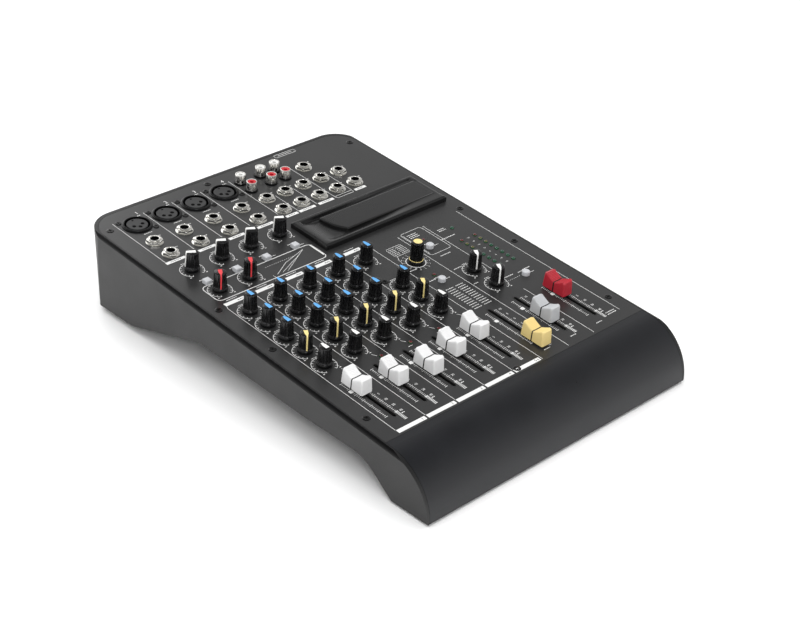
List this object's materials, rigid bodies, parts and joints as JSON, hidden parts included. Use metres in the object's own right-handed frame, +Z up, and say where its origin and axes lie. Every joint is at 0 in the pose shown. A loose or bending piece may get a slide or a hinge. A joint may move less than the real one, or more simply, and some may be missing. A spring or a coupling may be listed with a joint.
{
  "type": "mixing console",
  "caption": "Tilted desktop audio mixing console with channel strips of knobs and faders, a master section, level meter, tablet holder and rows of microphone, jack and phono sockets.",
  "frame": {"origin": "on the table plane, under the middle of the console's bounding box", "axes": "+X to the operator's right, +Y towards the rear edge with the sockets, +Z up"},
  "size_m": [0.2558, 0.3696, 0.0779],
  "materials": {
    "panel_paint": "satin powder coat",
    "case_plastic": "fine grain",
    "lip_plastic": "fine grain, slight sheen",
    "board_green": "solder mask",
    "pot_metal": "plated",
    "mic_plastic": "satin",
    "socket_metal": "polished",
    "holder_plastic": "fine grain",
    "hardware": "plated nuts and blackened screws",
    "foot_rubber": "matte",
    "inlet_plastic": "satin",
    "switch_plastic": "glossy",
    "knob_plastic": "soft satin",
    "fader_white": "satin",
    "fader_yellow": "satin",
    "fader_grey": "satin",
    "fader_red": "satin",
    "button_grey": "satin"
  },
  "bodies": {
    "case": {"top_panel": "panel_paint", "body_shell": "case_plastic", "front_lip": "lip_plastic", "circuit_boards": "board_green", "potentiometers": "pot_metal", "mic_sockets": "mic_plastic", "line_sockets": "socket_metal", "device_holder": "holder_plastic", "fasteners": "hardware", "rubber_feet": "foot_rubber", "power_inlet": "inlet_plastic"},
    "pan_knob_1": {"pan_knob_1": "knob_plastic"},
    "send_knob_1": {"send_knob_1": "knob_plastic"},
    "low_knob_1": {"low_knob_1": "knob_plastic"},
    "mid_knob_1": {"mid_knob_1": "knob_plastic"},
    "high_knob_1": {"high_knob_1": "knob_plastic"},
    "gain_knob_1": {"gain_knob_1": "knob_plastic"},
    "compressor_knob_1": {"compressor_knob_1": "knob_plastic"},
    "phones_knob": {"phones_knob": "knob_plastic"},
    "monitor_knob": {"monitor_knob": "knob_plastic"},
    "effect_selector": {"effect_selector": "knob_plastic"},
    "fader_1": {"fader_1": "fader_white"},
    "fader_2": {"fader_2": "fader_white"},
    "fader_3": {"fader_3": "fader_white"},
    "fader_4": {"fader_4": "fader_white"},
    "fader_5": {"fader_5": "fader_white"},
    "send_fader": {"send_fader": "fader_yellow"},
    "monitor_fader": {"monitor_fader": "fader_grey"},
    "main_fader": {"main_fader": "fader_red"},
    "low_cut_button_1": {"low_cut_button_1": "button_grey"},
    "low_cut_button_2": {"low_cut_button_2": "button_grey"},
    "low_cut_button_3": {"low_cut_button_3": "button_grey"},
    "low_cut_button_4": {"low_cut_button_4": "button_grey"},
    "effect_button": {"effect_button": "button_grey"},
    "return_button": {"return_button": "button_grey"},
    "talk_button": {"talk_button": "button_grey"},
    "power_switch": {"power_switch": "switch_plastic"},
    "pan_knob_2": {"pan_knob_2": "knob_plastic"},
    "send_knob_2": {"send_knob_2": "knob_plastic"},
    "low_knob_2": {"low_knob_2": "knob_plastic"},
    "mid_knob_2": {"mid_knob_2": "knob_plastic"},
    "high_knob_2": {"high_knob_2": "knob_plastic"},
    "pan_knob_3": {"pan_knob_3": "knob_plastic"},
    "send_knob_3": {"send_knob_3": "knob_plastic"},
    "low_knob_3": {"low_knob_3": "knob_plastic"},
    "mid_knob_3": {"mid_knob_3": "knob_plastic"},
    "high_knob_3": {"high_knob_3": "knob_plastic"},
    "pan_knob_4": {"pan_knob_4": "knob_plastic"},
    "send_knob_4": {"send_knob_4": "knob_plastic"},
    "low_knob_4": {"low_knob_4": "knob_plastic"},
    "mid_knob_4": {"mid_knob_4": "knob_plastic"},
    "high_knob_4": {"high_knob_4": "knob_plastic"},
    "pan_knob_5": {"pan_knob_5": "knob_plastic"},
    "send_knob_5": {"send_knob_5": "knob_plastic"},
    "low_knob_5": {"low_knob_5": "knob_plastic"},
    "high_knob_5": {"high_knob_5": "knob_plastic"},
    "gain_knob_2": {"gain_knob_2": "knob_plastic"},
    "gain_knob_3": {"gain_knob_3": "knob_plastic"},
    "gain_knob_4": {"gain_knob_4": "knob_plastic"},
    "compressor_knob_2": {"compressor_knob_2": "knob_plastic"}
  },
  "joints": [
    {"name": "pan_knob_1_turn", "type": "hinge", "parent": "case", "child": "pan_knob_1", "pos_m": [-0.1014, -0.05754, 0.0495], "axis": [0, 0.0872, -0.9962], "range_deg": [-150, 150]},
    {"name": "send_knob_1_turn", "type": "hinge", "parent": "case", "child": "send_knob_1", "pos_m": [-0.1014, -0.03801, 0.0512], "axis": [0, 0.0872, -0.9962], "range_deg": [0, 300]},
    {"name": "low_knob_1_turn", "type": "hinge", "parent": "case", "child": "low_knob_1", "pos_m": [-0.1014, -0.01849, 0.05291], "axis": [0, 0.0872, -0.9962], "range_deg": [-150, 150]},
    {"name": "mid_knob_1_turn", "type": "hinge", "parent": "case", "child": "mid_knob_1", "pos_m": [-0.1014, 0.00104, 0.05462], "axis": [0, 0.0872, -0.9962], "range_deg": [-150, 150]},
    {"name": "high_knob_1_turn", "type": "hinge", "parent": "case", "child": "high_knob_1", "pos_m": [-0.1014, 0.02056, 0.05633], "axis": [0, 0.0872, -0.9962], "range_deg": [-150, 150]},
    {"name": "gain_knob_1_turn", "type": "hinge", "parent": "case", "child": "gain_knob_1", "pos_m": [-0.1014, 0.08592, 0.06205], "axis": [0, 0.0872, -0.9962], "range_deg": [-90, 210]},
    {"name": "compressor_knob_1_turn", "type": "hinge", "parent": "case", "child": "compressor_knob_1", "pos_m": [-0.1014, 0.05404, 0.05926], "axis": [0, 0.0872, -0.9962], "range_deg": [0, 300]},
    {"name": "phones_knob_turn", "type": "hinge", "parent": "case", "child": "phones_knob", "pos_m": [0.064, -0.03413, 0.05154], "axis": [0, 0.0872, -0.9962], "range_deg": [0, 300]},
    {"name": "monitor_knob_turn", "type": "hinge", "parent": "case", "child": "monitor_knob", "pos_m": [0.064, -0.05704, 0.04954], "axis": [0, 0.0872, -0.9962], "range_deg": [0, 300]},
    {"name": "effect_selector_turn", "type": "hinge", "parent": "case", "child": "effect_selector", "pos_m": [0.0365, -0.00125, 0.05442], "axis": [0, 0.0872, -0.9962], "continuous": true},
    {"name": "fader_1_slide", "type": "slide", "parent": "case", "child": "fader_1", "axis": [0, 0.9962, 0.0872], "range_m": [-0.0357, 0.0093]},
    {"name": "fader_2_slide", "type": "slide", "parent": "case", "child": "fader_2", "axis": [0, 0.9962, 0.0872], "range_m": [-0.0292, 0.0158]},
    {"name": "fader_3_slide", "type": "slide", "parent": "case", "child": "fader_3", "axis": [0, 0.9962, 0.0872], "range_m": [-0.0237, 0.0213]},
    {"name": "fader_4_slide", "type": "slide", "parent": "case", "child": "fader_4", "axis": [0, 0.9962, 0.0872], "range_m": [-0.0297, 0.0153]},
    {"name": "fader_5_slide", "type": "slide", "parent": "case", "child": "fader_5", "axis": [0, 0.9962, 0.0872], "range_m": [-0.0342, 0.0108]},
    {"name": "send_fader_slide", "type": "slide", "parent": "case", "child": "send_fader", "axis": [0, 0.9962, 0.0872], "range_m": [-0.0022, 0.0428]},
    {"name": "monitor_fader_slide", "type": "slide", "parent": "case", "child": "monitor_fader", "axis": [0, 0.9962, 0.0872], "range_m": [-0.0187, 0.0263]},
    {"name": "main_fader_slide", "type": "slide", "parent": "case", "child": "main_fader", "axis": [0, 0.9962, 0.0872], "range_m": [-0.0357, 0.0093]},
    {"name": "low_cut_button_1_press", "type": "slide", "parent": "case", "child": "low_cut_button_1", "axis": [0, 0.0872, -0.9962], "range_m": [0, 0.0015], "stiffness_N_per_m": 300},
    {"name": "low_cut_button_2_press", "type": "slide", "parent": "case", "child": "low_cut_button_2", "axis": [0, 0.0872, -0.9962], "range_m": [0, 0.0015], "stiffness_N_per_m": 300},
    {"name": "low_cut_button_3_press", "type": "slide", "parent": "case", "child": "low_cut_button_3", "axis": [0, 0.0872, -0.9962], "range_m": [0, 0.0015], "stiffness_N_per_m": 300},
    {"name": "low_cut_button_4_press", "type": "slide", "parent": "case", "child": "low_cut_button_4", "axis": [0, 0.0872, -0.9962], "range_m": [0, 0.0015], "stiffness_N_per_m": 300},
    {"name": "effect_button_press", "type": "slide", "parent": "case", "child": "effect_button", "axis": [0, 0.0872, -0.9962], "range_m": [0, 0.0015], "stiffness_N_per_m": 300},
    {"name": "return_button_press", "type": "slide", "parent": "case", "child": "return_button", "axis": [0, 0.0872, -0.9962], "range_m": [0, 0.0015], "stiffness_N_per_m": 300},
    {"name": "talk_button_press", "type": "slide", "parent": "case", "child": "talk_button", "axis": [0, 0.0872, -0.9962], "range_m": [0, 0.0015], "stiffness_N_per_m": 300},
    {"name": "power_switch_rock", "type": "hinge", "parent": "case", "child": "power_switch", "pos_m": [0.08, 0.17859, 0.028], "axis": [-1, 0, 0], "range_deg": [0, 20]},
    {"name": "pan_knob_2_turn", "type": "hinge", "parent": "case", "child": "pan_knob_2", "pos_m": [-0.0744, -0.05754, 0.0495], "axis": [0, 0.0872, -0.9962], "range_deg": [-150, 150]},
    {"name": "send_knob_2_turn", "type": "hinge", "parent": "case", "child": "send_knob_2", "pos_m": [-0.0744, -0.03801, 0.0512], "axis": [0, 0.0872, -0.9962], "range_deg": [0, 300]},
    {"name": "low_knob_2_turn", "type": "hinge", "parent": "case", "child": "low_knob_2", "pos_m": [-0.0744, -0.01849, 0.05291], "axis": [0, 0.0872, -0.9962], "range_deg": [-150, 150]},
    {"name": "mid_knob_2_turn", "type": "hinge", "parent": "case", "child": "mid_knob_2", "pos_m": [-0.0744, 0.00104, 0.05462], "axis": [0, 0.0872, -0.9962], "range_deg": [-150, 150]},
    {"name": "high_knob_2_turn", "type": "hinge", "parent": "case", "child": "high_knob_2", "pos_m": [-0.0744, 0.02056, 0.05633], "axis": [0, 0.0872, -0.9962], "range_deg": [-150, 150]},
    {"name": "pan_knob_3_turn", "type": "hinge", "parent": "case", "child": "pan_knob_3", "pos_m": [-0.0474, -0.05754, 0.0495], "axis": [0, 0.0872, -0.9962], "range_deg": [-150, 150]},
    {"name": "send_knob_3_turn", "type": "hinge", "parent": "case", "child": "send_knob_3", "pos_m": [-0.0474, -0.03801, 0.0512], "axis": [0, 0.0872, -0.9962], "range_deg": [0, 300]},
    {"name": "low_knob_3_turn", "type": "hinge", "parent": "case", "child": "low_knob_3", "pos_m": [-0.0474, -0.01849, 0.05291], "axis": [0, 0.0872, -0.9962], "range_deg": [-150, 150]},
    {"name": "mid_knob_3_turn", "type": "hinge", "parent": "case", "child": "mid_knob_3", "pos_m": [-0.0474, 0.00104, 0.05462], "axis": [0, 0.0872, -0.9962], "range_deg": [-150, 150]},
    {"name": "high_knob_3_turn", "type": "hinge", "parent": "case", "child": "high_knob_3", "pos_m": [-0.0474, 0.02056, 0.05633], "axis": [0, 0.0872, -0.9962], "range_deg": [-150, 150]},
    {"name": "pan_knob_4_turn", "type": "hinge", "parent": "case", "child": "pan_knob_4", "pos_m": [-0.0204, -0.05754, 0.0495], "axis": [0, 0.0872, -0.9962], "range_deg": [-150, 150]},
    {"name": "send_knob_4_turn", "type": "hinge", "parent": "case", "child": "send_knob_4", "pos_m": [-0.0204, -0.03801, 0.0512], "axis": [0, 0.0872, -0.9962], "range_deg": [0, 300]},
    {"name": "low_knob_4_turn", "type": "hinge", "parent": "case", "child": "low_knob_4", "pos_m": [-0.0204, -0.01849, 0.05291], "axis": [0, 0.0872, -0.9962], "range_deg": [-150, 150]},
    {"name": "mid_knob_4_turn", "type": "hinge", "parent": "case", "child": "mid_knob_4", "pos_m": [-0.0204, 0.00104, 0.05462], "axis": [0, 0.0872, -0.9962], "range_deg": [-150, 150]},
    {"name": "high_knob_4_turn", "type": "hinge", "parent": "case", "child": "high_knob_4", "pos_m": [-0.0204, 0.02056, 0.05633], "axis": [0, 0.0872, -0.9962], "range_deg": [-150, 150]},
    {"name": "pan_knob_5_turn", "type": "hinge", "parent": "case", "child": "pan_knob_5", "pos_m": [0.0066, -0.05754, 0.0495], "axis": [0, 0.0872, -0.9962], "range_deg": [-150, 150]},
    {"name": "send_knob_5_turn", "type": "hinge", "parent": "case", "child": "send_knob_5", "pos_m": [0.0066, -0.03801, 0.0512], "axis": [0, 0.0872, -0.9962], "range_deg": [0, 300]},
    {"name": "low_knob_5_turn", "type": "hinge", "parent": "case", "child": "low_knob_5", "pos_m": [0.0066, -0.01849, 0.05291], "axis": [0, 0.0872, -0.9962], "range_deg": [-150, 150]},
    {"name": "high_knob_5_turn", "type": "hinge", "parent": "case", "child": "high_knob_5", "pos_m": [0.0066, 0.02056, 0.05633], "axis": [0, 0.0872, -0.9962], "range_deg": [-150, 150]},
    {"name": "gain_knob_2_turn", "type": "hinge", "parent": "case", "child": "gain_knob_2", "pos_m": [-0.0744, 0.08592, 0.06205], "axis": [0, 0.0872, -0.9962], "range_deg": [-90, 210]},
    {"name": "gain_knob_3_turn", "type": "hinge", "parent": "case", "child": "gain_knob_3", "pos_m": [-0.0474, 0.08592, 0.06205], "axis": [0, 0.0872, -0.9962], "range_deg": [-90, 210]},
    {"name": "gain_knob_4_turn", "type": "hinge", "parent": "case", "child": "gain_knob_4", "pos_m": [-0.0204, 0.08592, 0.06205], "axis": [0, 0.0872, -0.9962], "range_deg": [-90, 210]},
    {"name": "compressor_knob_2_turn", "type": "hinge", "parent": "case", "child": "compressor_knob_2", "pos_m": [-0.0744, 0.05404, 0.05926], "axis": [0, 0.0872, -0.9962], "range_deg": [0, 300]}
  ]
}
